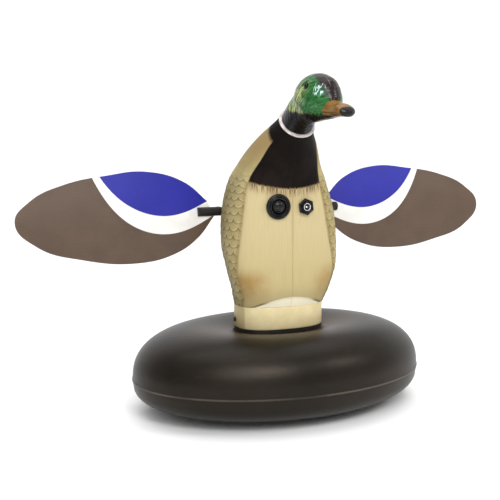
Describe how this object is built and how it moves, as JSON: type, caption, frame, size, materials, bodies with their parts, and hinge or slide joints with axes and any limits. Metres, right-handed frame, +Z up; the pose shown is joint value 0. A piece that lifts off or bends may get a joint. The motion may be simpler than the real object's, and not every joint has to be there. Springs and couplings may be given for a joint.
{
  "type": "spinning-wing duck decoy",
  "caption": "Motorised drake duck decoy standing on an oval float, with flat turning wings on a cross shaft, push switch and charging socket.",
  "frame": {"origin": "middle of the float's flat resting face", "axes": "+Z up, breast faces -Y, the duck's left wing on +X"},
  "size_m": [0.5044, 0.2321, 0.3264],
  "materials": {
    "float_black": "satin blow-moulded polyethylene",
    "black_plastic": "satin moulded plastic",
    "gloss_black": "glossy moulded plastic",
    "cream_plastic": "matt cream with airbrushed brown and grey feathers, black breast",
    "white_plastic": "matt white",
    "grey_plastic": "moulded plastic",
    "cell_sleeve": "shrink sleeve",
    "board_green": "lacquered circuit board",
    "lead_red": "insulated wire",
    "lead_black": "insulated wire",
    "steel": "zinc plated",
    "dark_steel": "black oxide",
    "chrome_steel": "nickel plated",
    "copper": "copper winding and contacts",
    "brass": "sintered bronze",
    "ferrite": "sintered ferrite",
    "wing_print": "printed matt taupe, blue and white",
    "head_paint": "glossy green, black and orange-brown paint"
  },
  "bodies": {
    "root": {"float_upper": "float_black", "float_lower": "float_black", "pedestal": "black_plastic", "pedestal_screw_1": "steel", "pedestal_screw_2": "steel", "pedestal_screw_3": "steel", "pedestal_screw_4": "steel", "foot_collar": "cream_plastic", "collar_screw_right": "dark_steel", "collar_screw_left": "dark_steel", "body_right": "cream_plastic", "body_left": "cream_plastic", "neck_ring": "white_plastic", "chassis": "grey_plastic", "chassis_screw_1": "steel", "chassis_screw_2": "steel", "battery_tray": "black_plastic", "battery_cell_1": "cell_sleeve", "battery_cell_2": "cell_sleeve", "control_board": "board_green", "terminal_block": "lead_red", "motor_can": "steel", "motor_end_bell": "black_plastic", "magnet_upper": "ferrite", "magnet_lower": "ferrite", "brush_upper": "copper", "brush_lower": "copper", "motor_strap": "steel", "strap_screw_front": "steel", "strap_screw_back": "steel", "axle_bush_right": "brass", "axle_bush_left": "brass", "switch_housing": "gloss_black", "switch_nut": "black_plastic", "jack_body": "gloss_black", "jack_nut": "gloss_black", "jack_sleeve": "chrome_steel", "jack_pin": "chrome_steel", "motor_lead": "lead_red", "switch_lead": "lead_black", "socket_lead": "lead_red", "battery_lead": "lead_red"},
    "wing_rotor": {"drive_shaft": "steel", "armature": "copper", "commutator": "copper", "wing_hub_right": "black_plastic", "wing_hub_left": "black_plastic", "grub_screw_right": "dark_steel", "grub_screw_left": "dark_steel", "wing_right": "wing_print", "wing_left": "wing_print", "wing_screw_right_1": "steel", "wing_screw_right_2": "steel", "wing_screw_left_1": "steel", "wing_screw_left_2": "steel"},
    "button": {"power_button": "gloss_black"},
    "head": {"head": "head_paint", "eye_right": "gloss_black", "eye_left": "gloss_black", "head_clip": "steel"}
  },
  "joints": [
    {"name": "wing_spin", "type": "hinge", "parent": "root", "child": "wing_rotor", "pos_m": [0, 0.0241, 0.1955], "axis": [1, 0, 0], "continuous": true},
    {"name": "power_button_push", "type": "slide", "parent": "root", "child": "button", "axis": [0.0872, 0.9962, 0], "range_m": [0, 0.002], "stiffness_N_per_m": 600},
    {"name": "head_swivel", "type": "hinge", "parent": "root", "child": "head", "pos_m": [0, -0.0418, 0.282], "axis": [0, -0.7431, 0.6691], "range_deg": [-55, 40]}
  ]
}
